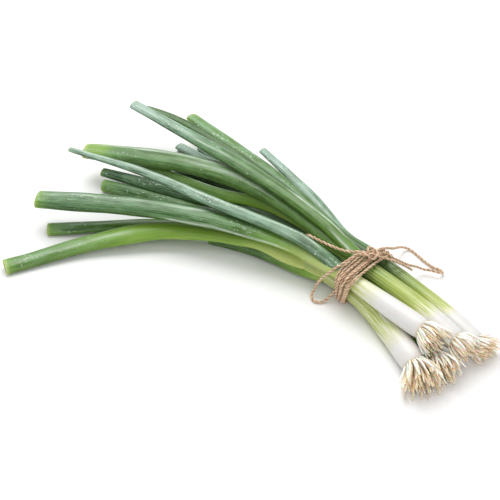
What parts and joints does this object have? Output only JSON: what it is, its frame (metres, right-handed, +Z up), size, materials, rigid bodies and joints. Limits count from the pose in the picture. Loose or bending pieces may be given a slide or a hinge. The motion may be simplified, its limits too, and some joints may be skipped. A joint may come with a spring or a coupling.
{
  "type": "spring onion bunch",
  "caption": "Bunch of spring onions lying down, tied with jute twine in a bow: white bulbs with trimmed roots, striped green necks and long hollow leaves cut at their tips.",
  "frame": {"origin": "bottom centre of the bunch's box, on the table that it lies on", "axes": "+X along the shanks towards the roots, +Y towards the bunch's far side, +Z up"},
  "size_m": [0.3548, 0.226, 0.0423],
  "materials": {
    "white_shank": "satin, white at the bulb and striped green at the neck",
    "root_hair": "matt, cream with tan shadows",
    "leaf_green": "waxy satin green with a pale bloom",
    "twine_jute": "matt, twisted jute"
  },
  "bodies": {
    "root": {"near_shank": "white_shank", "top_shank": "white_shank", "middle_shank": "white_shank", "far_shank": "white_shank", "low_shank": "white_shank", "near_roots": "root_hair", "top_roots": "root_hair", "middle_roots": "root_hair", "far_roots": "root_hair", "low_roots": "root_hair", "near_leaf_under": "leaf_green", "near_leaf_inner": "leaf_green", "near_leaf_curved": "leaf_green", "top_leaf_broad": "leaf_green", "top_leaf_narrow": "leaf_green", "middle_leaf_folded": "leaf_green", "middle_leaf_high": "leaf_green", "far_leaf_behind": "leaf_green", "middle_leaf_wide": "leaf_green", "far_leaf_pale": "leaf_green", "far_leaf_short": "leaf_green", "far_leaf_stub": "leaf_green", "low_leaf_dark": "leaf_green", "low_leaf_under": "leaf_green", "low_leaf_back": "leaf_green", "twine_windings": "twine_jute", "twine_knot": "twine_jute", "tail_left": "twine_jute", "tail_right": "twine_jute", "bow_loop_left": "twine_jute", "bow_loop_right": "twine_jute"}
  },
  "joints": []
}
